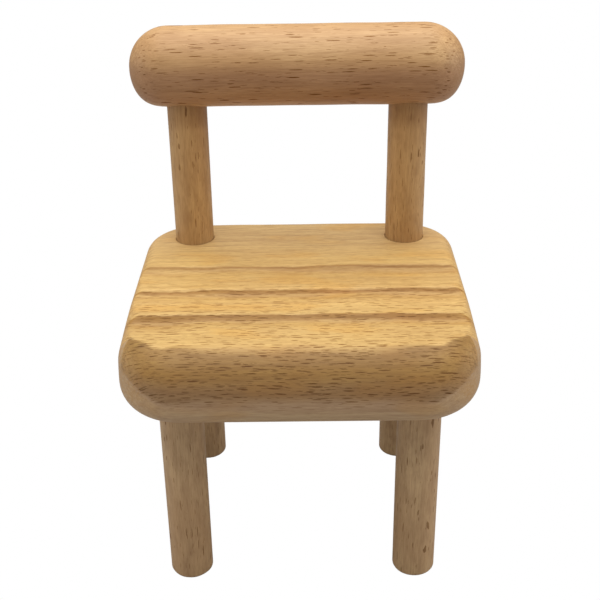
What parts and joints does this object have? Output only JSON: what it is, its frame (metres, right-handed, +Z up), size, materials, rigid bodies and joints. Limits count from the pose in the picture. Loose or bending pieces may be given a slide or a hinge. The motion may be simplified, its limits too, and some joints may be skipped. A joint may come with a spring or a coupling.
{
  "type": "miniature wooden chair phone stand",
  "caption": "Small beech desk chair that holds a phone: thick grooved seat with a rolled front edge, round posts and legs, and a fat round backrest bar with domed ends.",
  "frame": {"origin": "on the floor, under the middle of the chair's bounding box, which is also the middle of the seat", "axes": "+Z up, +Y towards the back of the chair, +X towards the right seen from the front"},
  "size_m": [0.096, 0.091, 0.144],
  "materials": {
    "seat_beech": "sanded and oiled, satin",
    "backrest_beech": "sanded and oiled, satin",
    "dowel_beech": "sanded and oiled, satin"
  },
  "bodies": {
    "root": {"seat": "seat_beech", "backrest": "backrest_beech", "post_left": "dowel_beech", "post_right": "dowel_beech", "leg_front_left": "dowel_beech", "leg_front_right": "dowel_beech", "leg_rear_left": "dowel_beech", "leg_rear_right": "dowel_beech"}
  },
  "joints": []
}
